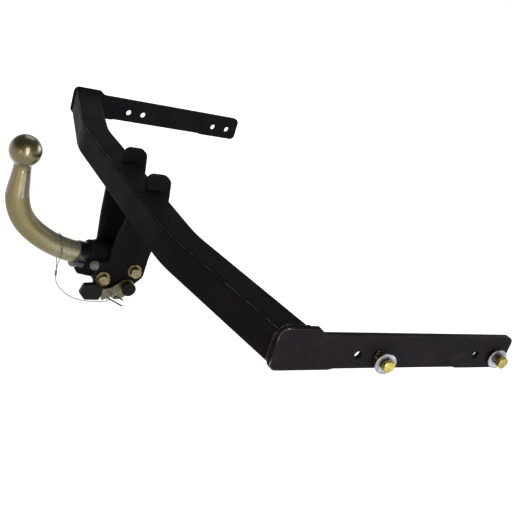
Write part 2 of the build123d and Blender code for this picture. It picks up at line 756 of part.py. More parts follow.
arm = side_arm()
plate = side_plate()
near_plate = plate - plug_hole()
bolts, flat_washers, spring_washers = receiver_fasteners()
rear_bolt, rear_washer = arm_bolt(hole_places[1], rear_bolt_out, rear_head_gap)
front_bolt, front_washer = arm_bolt(hole_places[3], front_bolt_out, front_head_gap)
(loop, loop_length), loop_points = lanyard_loop()
(tail, tail_length), tail_points = lanyard_tail()
for name, wire, length, points in (("loop", loop, loop_length, loop_points),
                                   ("tail", tail, tail_length, tail_points)):
    print(name, "radii", bend_radii(points), "length", round(length, 1),
          "volume over section x length", round(wire.volume / (pi * lanyard_d ** 2 / 4 * length), 4))

nodes = {
    "cross_beam": cross_beam(),
    "right_arm": arm,
    "left_arm": mirrored(arm),
    "right_beam_weld": beam_beads(),
    "left_beam_weld": mirrored(beam_beads()),
    "right_side_plate": near_plate,
    "left_side_plate": mirrored(plate),
    "right_plate_weld": plate_beads(),
    "left_plate_weld": mirrored(plate_beads()),
    "receiver_block": receiver_block(),
    "mouth_ring": mouth_ring(),
    "receiver_bolts": bolts,
    "receiver_flat_washers": flat_washers,
    "receiver_spring_washers": spring_washers,
    "shaft_bushes": shaft_bushes(),
    "end_plug": end_plug(),
    "rear_arm_bolt": rear_bolt,
    "rear_arm_washer": rear_washer,
    "front_arm_bolt": front_bolt,
    "front_arm_washer": front_washer,
    "swan_neck": swan_neck(),
    "locking_shaft": locking_shaft(),
    "lock_cam": lock_cam(),
    "cam_pin": cam_pin(),
    "thrust_washer": thrust_washer(),
    "far_washer": far_washer(),
    "retaining_ring": retaining_ring(),
    "lever_plate": lever_plate(),
    "lever_grip": lever_grip(),
    "pivot_cap": pivot_cap(),
    "safety_clip": safety_clip(),
    "clip_eye": clip_eye(),
    "lanyard_loop": loop,
    "lanyard_tail": tail,
    "lanyard_ferrule": lanyard_ferrule(),
}
for name, solid in nodes.items():
    export_step(solid, f"parts/{name}.step")
print("travel per radian", round(neck_travel / 1000 / radians(lever_turn), 5), "m")
print("pivot", pivot, "mouth", mouth)
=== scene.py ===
import json

import bpy
import numpy as np
from mathutils import Matrix, Vector


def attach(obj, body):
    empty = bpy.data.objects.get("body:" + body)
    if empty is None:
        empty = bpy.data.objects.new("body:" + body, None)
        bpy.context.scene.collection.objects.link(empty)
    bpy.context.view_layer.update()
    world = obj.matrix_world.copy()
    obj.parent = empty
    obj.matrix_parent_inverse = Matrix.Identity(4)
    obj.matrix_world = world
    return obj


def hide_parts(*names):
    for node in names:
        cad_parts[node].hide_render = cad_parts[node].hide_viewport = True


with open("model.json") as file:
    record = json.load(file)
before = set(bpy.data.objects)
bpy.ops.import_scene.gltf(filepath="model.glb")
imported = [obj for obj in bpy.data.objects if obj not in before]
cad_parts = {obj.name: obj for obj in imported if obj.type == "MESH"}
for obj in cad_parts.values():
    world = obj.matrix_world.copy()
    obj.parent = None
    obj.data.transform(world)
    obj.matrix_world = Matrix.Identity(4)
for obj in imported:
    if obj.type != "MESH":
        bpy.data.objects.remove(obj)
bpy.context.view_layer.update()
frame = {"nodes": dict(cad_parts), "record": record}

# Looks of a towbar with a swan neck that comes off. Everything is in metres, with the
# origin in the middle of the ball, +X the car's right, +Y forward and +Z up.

collection = bpy.context.scene.collection

# Places and sizes shared with the CAD part
BEAM_TOP, BEAM_FRONT, BEAM_SIZE, BEAM_CORNER = -0.013, 0.202, 0.050, 0.0055
BEND_X, ARM_INNER_X = 0.224, 0.473
END_ANGLE = np.radians(11.9)         # of the beam's bent ends
END_SLOPE = np.tan(END_ANGLE)
PLATE_X = (0.055, 0.063)
BOLT_D, HEAD_AF, HEAD_T = 0.010, 0.017, 0.0064
RECEIVER_BOLTS = ((0.0463, -0.0172), (0.0945, 0.0085))
ARM_HOLE_Z, REAR_BOLT_Y, FRONT_BOLT_Y = -0.0468, 0.3648, 0.5798
REAR_HEAD_X, FRONT_HEAD_X = 0.5013, 0.4960       # undersides of the loose screws' heads
REAR_WASHER_X, FRONT_WASHER_X = 0.4972, 0.4883
TURNED_END, FORGED_START = -0.0710, -0.0745      # heights on the neck, where its turned face ends
MOUTH = np.array([0.0, 0.109402, -0.163971])
ALONG_SHANK = np.array([0.0, np.cos(np.radians(10)), -np.sin(np.radians(10))])
ABOVE_SHANK = np.array([0.0, np.sin(np.radians(10)), np.cos(np.radians(10))])
LEVER_HOLE = np.array([0.048, 0.177306, -0.217856])
CLIP_WAY = np.array([0.92, 0.37, 0.14]) / np.linalg.norm([0.92, 0.37, 0.14])
CLIP_ACROSS = np.array([0.303, -0.422, -0.855]) / np.linalg.norm([0.303, -0.422, -0.855])
FLOOR_Z = -0.300                     # below the grip when the lever is turned right down
WIRE_D = 0.0012


def millimetres(size):
    """Scale of a texture in object coordinates whose features are this many millimetres wide."""
    return 1000.0 / size


def linear(colour):
    """A colour written as an sRGB hex value, as the linear numbers that Blender works with."""
    srgb = np.array([int(colour[i:i + 2], 16) for i in (1, 3, 5)]) / 255
    return (*np.where(srgb <= 0.04045, srgb / 12.92, ((srgb + 0.055) / 1.055) ** 2.4), 1.0)


def make_piece(name, points, faces, material, body, sharp=30.0):
    """A mesh piece from arrays of points and faces, which rides on a body."""
    mesh = bpy.data.meshes.new(name)
    mesh.from_pydata(points.tolist(), [], faces)
    mesh.polygons.foreach_set("use_smooth", np.full(len(mesh.polygons), True))
    mesh.set_sharp_from_angle(angle=np.radians(sharp))
    mesh.materials.append(material)
    mesh.update()
    piece = bpy.data.objects.new(name, mesh)
    collection.objects.link(piece)
    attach(piece, body)
    return piece


def grid_faces(rows, columns, wrap_rows=False):
    """Four-sided faces of a grid of points whose columns close into a ring, and its rows too if asked."""
    row = np.arange(rows if wrap_rows else rows - 1)[:, None]
    after = (row + 1) % rows * columns
    row = row * columns
    column = np.arange(columns)[None, :]
    beside = (column + 1) % columns
    quads = np.stack([row + column, row + beside, after + beside, after + column], -1)
    return quads.reshape(-1, 4).tolist()


def capped(rings):
    """Points and faces of rings in a row, closed by a flat face at either end."""
    rows, columns = rings.shape[:2]
    last = (rows - 1) * columns
    faces = grid_faces(rows, columns)
    faces += [list(range(columns - 1, -1, -1)), list(range(last, last + columns))]
    return rings.reshape(-1, 3), faces


def together(shapes):
    """Several sets of points and faces as one."""
    points, faces, count = [], [], 0
    for some, sides in shapes:
        points.append(some)
        faces += [[corner + count for corner in side] for side in sides]
        count += len(some)
    return np.concatenate(points), faces


def mirrored(shape):
    """The same shape on the car's other side, with its faces still outward."""
    points, faces = shape
    return points * [-1, 1, 1], [side[::-1] for side in faces]


def placed(points, origin, x_way, z_way):
    """Local points moved to an origin, with the local x and z axes along two given ways."""
    y_way = np.cross(z_way, x_way)
    return np.array(origin) + points @ np.array([x_way, y_way, z_way])


def camera_at_the_photo():
    """The camera fitted to the photo's edges, rolled as the photo is."""
    forward = Vector((-0.77133, 0.51746, -0.37051)).normalized()
    right = Vector((0.4331, 0.85336, 0.29018)).normalized()
    above = right.cross(forward)
    camera = bpy.data.objects.new("camera", bpy.data.cameras.new("camera"))
    camera.data.sensor_width = 36.0
    camera.data.lens = 54.045
    camera.data.clip_start = 0.05
    camera.data.clip_end = 60.0
    camera.matrix_world = Matrix.Translation((1.12006, -0.29356, 0.39030)) @ Matrix(
        (right, above, -forward)).transposed().to_4x4()
    collection.objects.link(camera)
    bpy.context.scene.camera = camera


def loop_point(x, down):
    """A point of the wire's loop over the neck, in a plane that leans five degrees with it."""
    lean = np.radians(5.0)
    return (x, MOUTH[1] - 0.0271 + down * np.sin(lean), MOUTH[2] + 0.0071 - down * np.cos(lean))


def clip_point(along, across):
    """A point by its distance along the clip's legs and across them from the lever's hole."""
    return tuple(LEVER_HOLE + CLIP_WAY * along + CLIP_ACROSS * across)


def smooth_line(points):
    """The line of a quadratic NURBS spline with these control points, as an array."""
    curve = bpy.data.curves.new("route", "CURVE")
    curve.dimensions = "3D"
    spline = curve.splines.new("NURBS")
    spline.points.add(len(points) - 1)
    spline.points.foreach_set("co", np.column_stack([points, np.ones(len(points))]).ravel())
    spline.order_u = 3
    spline.use_endpoint_u = True
    spline.resolution_u = 24
    holder = bpy.data.objects.new("route", curve)
    line_mesh = bpy.data.meshes.new_from_object(holder)
    line = np.empty(len(line_mesh.vertices) * 3)
    line_mesh.vertices.foreach_get("co", line)
    bpy.data.meshes.remove(line_mesh)
    bpy.data.objects.remove(holder)
    bpy.data.curves.remove(curve)
    return line.reshape(-1, 3)


def even_steps(line, step):
    """The same line with its points at even steps, by its running length."""
    run = np.concatenate([[0], np.cumsum(np.linalg.norm(np.diff(line, axis=0), axis=1))])
    places = np.linspace(0, run[-1], int(run[-1] / step) + 1)
    return np.column_stack([np.interp(places, run, line[:, axis]) for axis in range(3)]), places


def frames_along(line):
    """Unit tangents of a line, and two directions across it made from one fixed direction."""
    tangent = np.gradient(line, axis=0)
    tangent /= np.linalg.norm(tangent, axis=1)[:, None]
    side = np.cross(tangent, [0.31, 0.87, 0.38])
    side /= np.linalg.norm(side, axis=1)[:, None]
    return tangent, side, np.cross(tangent, side)


def laid_wire(name, replaced, points, knot):
    """A wire rope of six strands in place of a plain one: its radius is that of a round strand in
    each sixth of the turn, the section turns once in 7 mm along the route's NURBS spline, and a
    knot swells its middle."""
    line, places = even_steps(smooth_line(points), WIRE_D / 3)
    turn_length, knot_length = 0.007, 0.0016
    tangent, side, other = frames_along(line)
    angle = np.linspace(0, 2 * np.pi, 36, endpoint=False)
    strand = WIRE_D / 6
    centre = WIRE_D / 2 - strand
    lobe = (angle % (np.pi / 3)) - np.pi / 6
    radius = centre * np.cos(lobe) + np.sqrt(strand ** 2 - (centre * np.sin(lobe)) ** 2 + 1e-12)
    swell = 1 + knot * np.exp(-((places - places[-1] / 2) / knot_length) ** 2)
    turned = angle[None, :] + places[:, None] * (2 * np.pi / turn_length)
    around = side[:, None] * np.cos(turned)[..., None] + other[:, None] * np.sin(turned)[..., None]
    points, faces = capped(line[:, None] + around * (swell[:, None] * radius)[..., None])
    piece = make_piece(name, points, faces, wire, "neck", 60.0)
    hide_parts(replaced)


def screw_shape(length):
    """A hexagon screw with its underside at zero: each turn of the head's outline is the hexagon's
    radius at that angle, cut by a cone at the top, and the shank's radius rises and falls along a
    helix of 1.5 mm pitch, down to a short cone at the tip."""
    pitch, depth = 0.0015, 0.0008
    widest, flat = 0.567 * HEAD_AF, 0.465 * HEAD_AF
    angle = np.linspace(0, 2 * np.pi, 48, endpoint=False)[None, :]
    hexagon = HEAD_AF / 2 / np.cos(angle % (np.pi / 3) - np.pi / 6)
    hexagon = np.minimum(hexagon, widest)
    share = np.array([0.0, 0.25, 0.6, 1.0])[:, None]
    cone = flat + share * (hexagon - flat)
    cone_z = HEAD_T - (cone - flat) * np.tan(np.radians(30))
    top = np.full((2, 48), flat) * np.array([[0.35], [0.97]])
    sides = np.concatenate([hexagon, hexagon - 0.0002, np.full((1, 48), BOLT_D / 2 + 0.0001)])
    sides_z = np.repeat([[0.0003], [0.0], [0.0]], 48, 1)
    z = -np.arange(0.0002, length, pitch / 8)[:, None] + 0 * angle
    thread = BOLT_D / 2 - depth * (0.5 - 0.5 * np.cos(2 * np.pi * (z / pitch) - angle))
    thread = np.minimum(thread, BOLT_D / 2 - 0.001 + (z + length))
    radius = np.concatenate([top, cone, sides, thread])[::-1]
    height = np.concatenate([np.full((2, 48), HEAD_T), cone_z, sides_z, z])[::-1]
    return capped(np.stack([radius * np.cos(angle), radius * np.sin(angle), height], -1))


def washer_shape(inner, outer, thick):
    """A stamped washer: a rounded rectangle, rounder on its upper side, turned round the axis."""
    rounding = np.linspace(0, np.pi / 2, 5)
    upper, lower = 0.0005, 0.0002
    r = np.concatenate([outer - upper + upper * np.cos(rounding), inner + upper - upper * np.sin(rounding),
                        inner + lower - lower * np.cos(rounding), outer - lower + lower * np.sin(rounding)])
    z = np.concatenate([thick - upper + upper * np.sin(rounding), thick - upper + upper * np.cos(rounding),
                        lower - lower * np.sin(rounding), lower - lower * np.cos(rounding)])
    angle = np.linspace(0, 2 * np.pi, 64, endpoint=False)
    rings = np.stack([r[:, None] * np.cos(angle), r[:, None] * np.sin(angle), z[:, None] + 0 * angle], -1)
    return rings.reshape(-1, 3), grid_faces(len(r), 64, True)


def bead_shape(start, end, leg_a, leg_b):
    """A weld bead along an inside corner: a bulged section whose height ripples in crescents every
    2.3 mm, and whose legs shrink to round ends."""
    start, end, leg_a, leg_b = (np.array(v) for v in (start, end, leg_a, leg_b))
    crescent, bulging, rippling, round_end = 0.0023, 0.00062, 0.00016, 0.003
    length = np.linalg.norm(end - start)
    s = np.linspace(0, length, int(length / 0.0004))[:, None]
    t = np.linspace(0, 1, 13)[None, :]
    near = np.minimum(np.minimum(s, length - s) / round_end, 1.0)
    size = 0.35 + 0.65 * np.sqrt(1 - (1 - near) ** 2)
    out = (leg_a + leg_b) / np.linalg.norm(leg_a + leg_b)
    arch = 4 * t * (1 - t)
    ripple = np.sin(2 * np.pi * (s / crescent + 0.55 * arch)) + 0.4 * np.sin(s / 0.0009 + 2.0)
    bulge = size * arch * (bulging + rippling * ripple)
    way = (end - start) / length
    arc = (start + way * s[..., None] + size[..., None] * (leg_a * (1 - t[..., None]) + leg_b * t[..., None])
           + out * bulge[..., None])
    corner = (start + way * s)[:, None]
    rings = np.concatenate([arc, corner], 1)
    turn = np.dot(np.cross(leg_a, leg_b), way)
    return capped(rings if turn > 0 else rings[:, ::-1])


def add(tree, kind, settings=(), inputs=()):
    """One node with its settings and its inputs, each a value or another node's output."""
    node = tree.nodes.new(kind)
    for name, value in dict(settings).items():
        setattr(node, name, value)
    for name, value in dict(inputs).items():
        if isinstance(value, bpy.types.NodeSocket):
            tree.links.new(value, node.inputs[name])
        else:
            node.inputs[name].default_value = value
    return node


def noise(tree, size, detail=3.0, roughness=0.5, stretch=(1, 1, 1)):
    """Soft clouds of a size in millimetres in object coordinates, stretched along the axes."""
    place = add(tree, "ShaderNodeTexCoord").outputs["Object"]
    place = add(tree, "ShaderNodeMapping", (), {"Vector": place, "Scale": stretch}).outputs[0]
    return add(tree, "ShaderNodeTexNoise", (), {
        "Vector": place, "Scale": millimetres(size), "Detail": detail, "Roughness": roughness}).outputs[0]


def between(tree, value, low, high, to_low=0.0, to_high=1.0):
    """A value that rises from to_low to to_high while another goes from low to high."""
    return add(tree, "ShaderNodeMapRange", {"interpolation_type": "SMOOTHSTEP"}, {
        "Value": value, "From Min": low, "From Max": high, "To Min": to_low, "To Max": to_high}).outputs[0]


def tint(tree, share, under, over):
    """One colour laid over another by a share."""
    return add(tree, "ShaderNodeMix", {"data_type": "RGBA"}, {0: share, 6: under, 7: over}).outputs[2]


def math_of(tree, operation, a, b):
    """Two values added, multiplied or otherwise joined."""
    return add(tree, "ShaderNodeMath", {"operation": operation}, {0: a, 1: b}).outputs[0]


def coordinate(tree, axis):
    """How far to the right (0), ahead (1) or up (2) a place on the object is, in metres."""
    place = add(tree, "ShaderNodeTexCoord").outputs["Object"]
    return add(tree, "ShaderNodeSeparateXYZ", (), {0: place}).outputs[axis]


def surface_of(material):
    """The one principled surface of a material."""
    return next(node for node in material.node_tree.nodes if node.type == "BSDF_PRINCIPLED")


def edge_rub(tree, width, grain):
    """Where an edge is: the rounded normal leaves the face's own; and how much it was rubbed, in patches."""
    rounded = add(tree, "ShaderNodeBevel", {"samples": 6}, {"Radius": width}).outputs[0]
    straight = add(tree, "ShaderNodeNewGeometry").outputs["Normal"]
    match = add(tree, "ShaderNodeVectorMath", {"operation": "DOT_PRODUCT"},
                {0: rounded, 1: straight}).outputs["Value"]
    return between(tree, match, 0.985, 0.88), between(tree, grain, 0.44, 0.64, 0.12, 0.9)


def closed(tree, colour, roughness, height, depth, inputs):
    """Ends a material: one principled surface with its colour, roughness and relief."""
    relief = add(tree, "ShaderNodeBump", (), {
        "Height": height, "Distance": depth, "Strength": 1.0}).outputs[0]
    surface = add(tree, "ShaderNodeBsdfPrincipled", (), {
        "Base Color": colour, "Roughness": roughness, "Normal": relief, **inputs})
    add(tree, "ShaderNodeOutputMaterial", (), {"Surface": surface.outputs[0]})


def opened(name):
    """A new material and its empty node tree."""
    material = bpy.data.materials.new(name)
    material.use_nodes = True
    material.node_tree.nodes.clear()
    return material, material.node_tree


def rear_corner_highlight(tree, height, width):
    """How near a face on a tube's rounded rear corner is to one that looks this far up, where a painted
    highlight goes.
    """
    facing = add(tree, "ShaderNodeNewGeometry").outputs["Normal"]
    facing = add(tree, "ShaderNodeSeparateXYZ", (), {0: facing}).outputs
    off = math_of(tree, "ABSOLUTE", math_of(tree, "SUBTRACT", facing[2], height), 0.0)
    rearward = between(tree, facing[1], -0.25, -0.5)
    return math_of(tree, "MULTIPLY", between(tree, off, width, 0.3 * width), rearward)


def knocked(tree, reach):
    """How near a place is to the near arm's two rear corners, which are knocked bare."""
    place = add(tree, "ShaderNodeTexCoord").outputs["Object"]
    shares = []
    for corner in ((0.481, 0.205, -0.0115), (0.481, 0.204, -0.064)):
        far = add(tree, "ShaderNodeVectorMath", {"operation": "DISTANCE"}, {0: place, 1: corner})
        shares.append(between(tree, far.outputs["Value"], reach, 0.35 * reach))
    return math_of(tree, "MAXIMUM", shares[0], shares[1])


# Finishes. A grain that is finer than half a millimetre is drawn about that coarse, so that it shows.

def satin_black_paint(name, corners, clean, dust, streaks):
    """Sprayed and baked black paint on rolled steel: nearly black with a violet cast, a faint orange
    peel, a warm dust film in clouds, small pale nicks, and a thin grey line along rubbed edges. On a
    tube, a broken grey line on its rounded upper and lower rear corners is a painted highlight, stronger on
    the left."""
    material, tree = opened(name)
    film = noise(tree, 60, 4, 0.6)
    streak = noise(tree, 26, 3, 0.55, (0.25, 1.0, 1.0))
    fleck = noise(tree, 2.6, 3, 0.6)
    peel = noise(tree, 1.6, 2, 0.5)
    edge, rubbed = edge_rub(tree, 0.0011, noise(tree, 17, 5, 0.65))
    rub = math_of(tree, "MULTIPLY", edge, rubbed)
    corner, scraped = edge_rub(tree, 0.0026, noise(tree, 5, 4, 0.7))
    bare = math_of(tree, "MULTIPLY", math_of(tree, "MULTIPLY", corner, scraped), knocked(tree, 0.017))
    dusty = tint(tree, between(tree, film, 0.35, 0.75, 0.0, 0.8), linear(clean), linear(dust))
    dusty = tint(tree, between(tree, streak, 0.5, 0.75, 0.0, 0.5), dusty, linear(streaks))
    nicked = tint(tree, between(tree, fleck, 0.68, 0.76, 0.0, 0.5), dusty, linear("#57504a"))
    colour = tint(tree, math_of(tree, "MULTIPLY", rub, 0.75), nicked, linear("#55544f"))
    colour = tint(tree, bare, colour, linear("#a8a6a2"))
    # Painted highlight: grey lines on the tube's rounded upper and lower rear corners, in patches, stronger
    # on the left.
    if corners:
        highlight_patch = between(tree, noise(tree, 9, 4, 0.7), 0.42, 0.62, 0.12, 1.0)
        leftward = between(tree, coordinate(tree, 0), -0.16, 0.04, 1.0, 0.28)
        highlight_patch = math_of(tree, "MULTIPLY", highlight_patch, leftward)
        upper = math_of(tree, "MULTIPLY", rear_corner_highlight(tree, 0.72, 0.17), highlight_patch)
        colour = tint(tree, upper, colour, linear("#5f6266"))
        lower = math_of(tree, "MULTIPLY", rear_corner_highlight(tree, -0.6, 0.2), highlight_patch)
        colour = tint(tree, math_of(tree, "MULTIPLY", lower, 0.45), colour, linear("#5f6266"))
    gloss = between(tree, film, 0.3, 0.75, 0.50, 0.62)
    height = math_of(tree, "ADD", peel, math_of(tree, "MULTIPLY", fleck, 0.3))
    closed(tree, colour, gloss, height, 0.00005, {"Metallic": 0.0, "IOR": 1.5, "Specular IOR Level": 0.015})
    return material


def yellow_zinc(name, pale, olive, red, speck, clouds, rough, red_share, sealed):
    """Zinc plating passivated yellow: a metal whose film shifts between pale yellow, olive and a
    reddish brown in soft clouds, over a fine matt grain from the blank. A sealer lies on it where
    the highlights are crisp."""
    material, tree = opened(name)
    cloud = noise(tree, clouds, 4, 0.55)
    drift = noise(tree, clouds * 0.6, 3, 0.5, (1.0, 0.7, 1.3))
    grain = noise(tree, 0.9, 4, 0.7)
    scratch = noise(tree, 0.5, 2, 0.6, (1.0, 0.06, 1.0))
    film = tint(tree, between(tree, cloud, 0.35, 0.65), linear(pale), linear(olive))
    film = tint(tree, between(tree, drift, 0.52, 0.70, 0.0, red_share), film, linear(red))
    film = tint(tree, between(tree, grain, 0.64, 0.78, 0.0, 0.35), film, linear(speck))
    gloss = add(tree, "ShaderNodeMapRange", (), {
        "Value": math_of(tree, "ADD", grain, scratch), "From Min": 0.6, "From Max": 1.4,
        "To Min": rough - 0.05, "To Max": rough + 0.08}).outputs[0]
    height = math_of(tree, "ADD", grain, math_of(tree, "MULTIPLY", scratch, 0.4))
    closed(tree, film, gloss, height, 0.00002, {
        "Metallic": 1.0, "Coat Weight": sealed, "Coat Roughness": 0.06})
    return material


def as_forged_below(material, turned_end, forged_start):
    """The neck is turned down to the start of its bend, and plated as forged below it: a rougher,
    greyer face with a deeper grain, on which the sealer has sunk in. Towards the receiver it is
    more speckled and painted lighter, a painted reflection. The grain is drawn coarser than it is, to show
    at this size."""
    tree = material.node_tree
    surface = surface_of(material)
    bump = next(node for node in tree.nodes if node.type == "BUMP")
    up = coordinate(tree, 2)
    forged = between(tree, up, turned_end, forged_start)
    scale = noise(tree, 2.2, 4, 0.75)
    cast = tint(tree, between(tree, scale, 0.36, 0.64), linear("#716b4b"), linear("#827c5e"))
    # Painted reflection: a lighter speckled tint that grows towards the receiver.
    painted_reflection = tint(tree, between(tree, scale, 0.40, 0.60), linear("#7d7860"), linear("#aaa692"))
    cast = tint(tree, between(tree, coordinate(tree, 1), 0.03, 0.10, 0.0, 0.75), cast, painted_reflection)
    turned = {name: surface.inputs[name].links[0].from_socket for name in ("Base Color", "Roughness")}
    film = tint(tree, math_of(tree, "MULTIPLY", forged, 0.75), turned["Base Color"], cast)
    rougher = math_of(tree, "ADD", turned["Roughness"], math_of(tree, "MULTIPLY", forged, 0.13))
    sealer = between(tree, up, turned_end, forged_start, 1.0, 0.1)
    pits = math_of(tree, "MULTIPLY", math_of(tree, "MULTIPLY", forged, scale), 9.0)
    deeper = math_of(tree, "ADD", bump.inputs["Height"].links[0].from_socket, pits)
    tree.links.new(film, surface.inputs["Base Color"])
    tree.links.new(rougher, surface.inputs["Roughness"])
    tree.links.new(sealer, surface.inputs["Coat Weight"])
    tree.links.new(deeper, bump.inputs["Height"])


def shank_with_painted_light(zinc, name, underside, reach, film):
    """A copy of a screw's zinc with painted light on the shank, from the underside of its head, a
    place along +X, as far as the reach: a dark colour for painted shade, a reddish one for a painted
    reflection."""
    material = zinc.copy()
    material.name = name
    tree = material.node_tree
    colour = surface_of(material).inputs["Base Color"]
    right = coordinate(tree, 0)
    below_head = between(tree, right, underside + 0.0002, underside - 0.0004, 0.0, 0.85)
    near_head = between(tree, right, underside - reach - 0.003, underside - reach, 0.1, 1.0)
    share = math_of(tree, "MULTIPLY", below_head, near_head)
    tree.links.new(tint(tree, share, colour.links[0].from_socket, linear(film)), colour)
    return material


def white_zinc():
    """Clear passivated zinc on stamped washers: pale bluish grey metal, matt, with faint drips."""
    material, tree = opened("white_zinc_plating")
    cloud = noise(tree, 7, 4, 0.6)
    grain = noise(tree, 0.6, 3, 0.6)
    film = tint(tree, between(tree, cloud, 0.35, 0.7), linear("#8c8b93"), linear("#706e72"))
    closed(tree, film, between(tree, grain, 0.3, 0.7, 0.32, 0.48), grain, 0.00003, {"Metallic": 1.0})
    return material


def turned_steel():
    """Turned and oiled steel: grey metal with fine rings and a brown oil tint."""
    material, tree = opened("turned_oiled_steel")
    ring = noise(tree, 0.45, 2, 0.5, (1.0, 0.15, 0.15))
    oil = noise(tree, 9, 3, 0.6)
    film = tint(tree, between(tree, oil, 0.4, 0.7, 0.0, 0.8), linear("#b4b2ad"), linear("#86796a"))
    closed(tree, film, between(tree, ring, 0.3, 0.7, 0.22, 0.38), ring, 0.00002, {"Metallic": 1.0})
    return material


def bush_bronze():
    """Sintered bronze: brown-gold metal, matt with small pores."""
    material, tree = opened("sintered_bronze")
    pores = noise(tree, 0.35, 2, 0.6)
    cloud = noise(tree, 5, 3, 0.6)
    film = tint(tree, between(tree, cloud, 0.35, 0.7), linear("#b38a52"), linear("#8a6a42"))
    film = tint(tree, between(tree, pores, 0.62, 0.72), film, linear("#4a3826"))
    closed(tree, film, between(tree, pores, 0.3, 0.7, 0.38, 0.55), pores, 0.00003, {"Metallic": 1.0})
    return material


def moulded_plastic(name, dark, light, rough, grain_size, specular):
    """Injection-moulded plastic: one colour with a fine spark-eroded grain and faint flow clouds."""
    material, tree = opened(name)
    grain = noise(tree, grain_size, 3, 0.6)
    cloud = noise(tree, 12, 3, 0.55)
    colour = tint(tree, between(tree, cloud, 0.35, 0.7), linear(dark), linear(light))
    gloss = between(tree, grain, 0.3, 0.7, rough - 0.05, rough + 0.08)
    closed(tree, colour, gloss, grain, 0.00004, {
        "Metallic": 0.0, "IOR": 1.5, "Specular IOR Level": specular})
    return material


def bright_wire():
    """Drawn steel wire: grey metal with lengthwise draw marks and darker patches of grime."""
    material, tree = opened("drawn_steel_wire")
    mark = noise(tree, 0.4, 3, 0.6)
    grime = noise(tree, 3, 3, 0.6)
    film = tint(tree, between(tree, grime, 0.42, 0.66), linear("#6b6a6a"), linear("#35322f"))
    closed(tree, film, between(tree, mark, 0.3, 0.7, 0.3, 0.45), mark, 0.00002, {"Metallic": 1.0})
    return material


paint = satin_black_paint("satin_black_paint", False, "#18161a", "#1e1b1c", "#242022")
# The tube's and the plates' copies are darker than the arms' paint: painted shade.
beam_paint_shaded = satin_black_paint("satin_black_paint_on_tube_with_painted_shade_and_highlight", True, "#100f10", "#141312", "#1a1817")
plate_paint_shaded = satin_black_paint("satin_black_paint_on_plates_with_painted_shade", False, "#131213", "#171615", "#1d1b1a")
neck_zinc = yellow_zinc(
    "yellow_zinc_on_forging", "#655d3a", "#5a5232", "#5a472c", "#9c9680", 34, 0.36, 0.4, 1.0)
as_forged_below(neck_zinc, TURNED_END, FORGED_START)
lever_zinc = yellow_zinc(
    "yellow_zinc_on_sheet", "#706b55", "#5e5943", "#5f4c37", "#b5ae92", 12, 0.36, 0.6, 0.0)
bolt_zinc = yellow_zinc(
    "yellow_zinc_on_bolts", "#867f61", "#6f684a", "#5e3b30", "#bdb58d", 5, 0.32, 0.45, 0.0)
loose_zinc = yellow_zinc(
    "yellow_zinc_on_loose_screws", "#9c9250", "#7e743a", "#6b4a2c", "#c9c088", 5, 0.32, 0.4, 0.0)
# Painted shade: the rear screw's shank is darkened under its washer.
rear_zinc = shank_with_painted_light(loose_zinc, "yellow_zinc_with_painted_shade_on_shank", REAR_HEAD_X, 0.030, "#26241f")
# Painted reflection: the front screw's shank is tinted reddish brown near its head.
front_zinc = shank_with_painted_light(loose_zinc, "yellow_zinc_with_painted_reflection_on_shank", FRONT_HEAD_X, 0.008, "#6e3d36")
washer_zinc = white_zinc()
steel = turned_steel()
bronze = bush_bronze()
wire = bright_wire()
black_plastic = moulded_plastic("moulded_black_polyamide", "#070607", "#0e0c0f", 0.40, 0.5, 0.12)
ring_plastic = moulded_plastic("moulded_black_acetal", "#09080d", "#110f18", 0.20, 0.8, 0.5)
white_plastic = moulded_plastic("moulded_white_polyethylene", "#5a5b54", "#4b4c47", 0.4, 0.7, 0.4)

by_slot = {
    "frame_paint": paint, "neck_zinc": neck_zinc, "lever_zinc": lever_zinc, "bolt_zinc": bolt_zinc,
    "washer_zinc": washer_zinc, "black_plastic": black_plastic, "white_plastic": white_plastic,
    "bright_steel": steel, "bush_bronze": bronze, "wire_steel": wire,
}
for part in frame["record"]["subparts"]:
    node = frame["nodes"][part["node"]]
    node.data.materials.clear()
    node.data.materials.append(by_slot[part["material_slot"]])
# The beam and the coupling plates get darker copies of the arms' paint, a painted shade, and the ring is
# glossier
frame["nodes"]["cross_beam"].data.materials[0] = beam_paint_shaded
for name in ("right_side_plate", "left_side_plate", "receiver_block"):
    frame["nodes"][name].data.materials[0] = plate_paint_shaded
frame["nodes"]["mouth_ring"].data.materials[0] = ring_plastic

camera_at_the_photo()

# Routes of the wire, as control points: the loop's half on the near side, then the tail to the clip
loop_near = [(0.0010, 0.0460), (0.0010, 0.0380), (0.0066, 0.0260), (0.0164, 0.0138), (0.0203, 0.0015),
             (0.0203, -0.0108), (0.0100, -0.0214)]
loop_route = [loop_point(x, down) for x, down in loop_near]
loop_route += [loop_point(-x, down) for x, down in reversed(loop_near)]
tail_route = [
    loop_point(0.0, 0.054), loop_point(0.0, 0.061), (0.0055, 0.093, -0.228), (0.016, 0.103, -0.2355),
    (0.029, 0.1175, -0.238), (0.037, 0.134, -0.237), (0.040, 0.152, -0.2356), clip_point(-0.008, 0.0144),
]
laid_wire("loop_wire", "lanyard_loop", loop_route, 1.3)
laid_wire("tail_wire", "lanyard_tail", tail_route, 0.0)

# The edges of sawn, stamped and laser-cut steel are broken, which a plain solid does not show
for name, width in (("right_arm", 0.0006), ("left_arm", 0.0006), ("right_side_plate", 0.0007),
                    ("left_side_plate", 0.0007), ("lever_plate", 0.0006)):
    part = frame["nodes"][name]
    part.modifiers.new("merged", "WELD").merge_threshold = 0.000002
    broken = part.modifiers.new("broken_edges", "BEVEL")
    broken.width = width
    broken.segments = 2
    broken.limit_method = "ANGLE"
    broken.angle_limit = np.radians(50)
    broken.harden_normals = True


def loose_screw(name, node, y, head_x, zinc, body):
    """A screw that replaces an arm's loose bolt, 40 mm under the head."""
    points, faces = screw_shape(0.040)
    points = placed(points, (head_x, y, ARM_HOLE_Z), (0, 0, 1), (1, 0, 0))
    piece = make_piece(name, points, faces, zinc, body)
    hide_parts(node)


